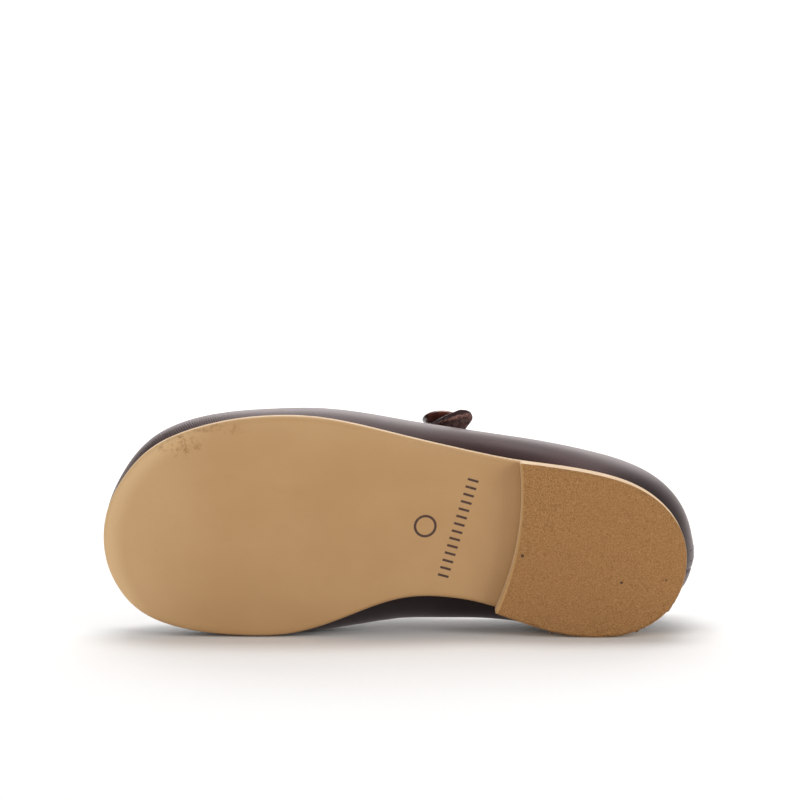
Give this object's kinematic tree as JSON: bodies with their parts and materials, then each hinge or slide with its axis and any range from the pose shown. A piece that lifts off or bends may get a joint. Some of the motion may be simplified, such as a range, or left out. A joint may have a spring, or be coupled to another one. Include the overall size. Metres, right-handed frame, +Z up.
{
  "type": "mary jane shoe",
  "caption": "Child's low-heeled leather shoe with a round toe and a buttoned strap over the instep, lying on its inner side.",
  "frame": {"origin": "centre of the bounding box in plan, on the floor that the shoe lies on", "axes": "-X towards the toe, -Y out of the tread, +Z up, towards the outer (lateral) side of the foot: the shoe lies on its inner side. +Y is the shoe's own up direction to within 4 degrees."},
  "size_m": [0.1694, 0.0516, 0.0647],
  "materials": {
    "outsole": "satin, tan sheet",
    "heel_lift": "matt, speckled brown",
    "insole": "matt, natural",
    "upper": "semi-gloss, dark aubergine",
    "strap": "semi-gloss, dark aubergine",
    "button": "gloss, red-brown"
  },
  "bodies": {
    "root": {"outsole": "outsole", "heel_lift": "heel_lift", "insole": "insole", "upper": "upper", "strap": "strap", "button": "button"}
  },
  "joints": []
}
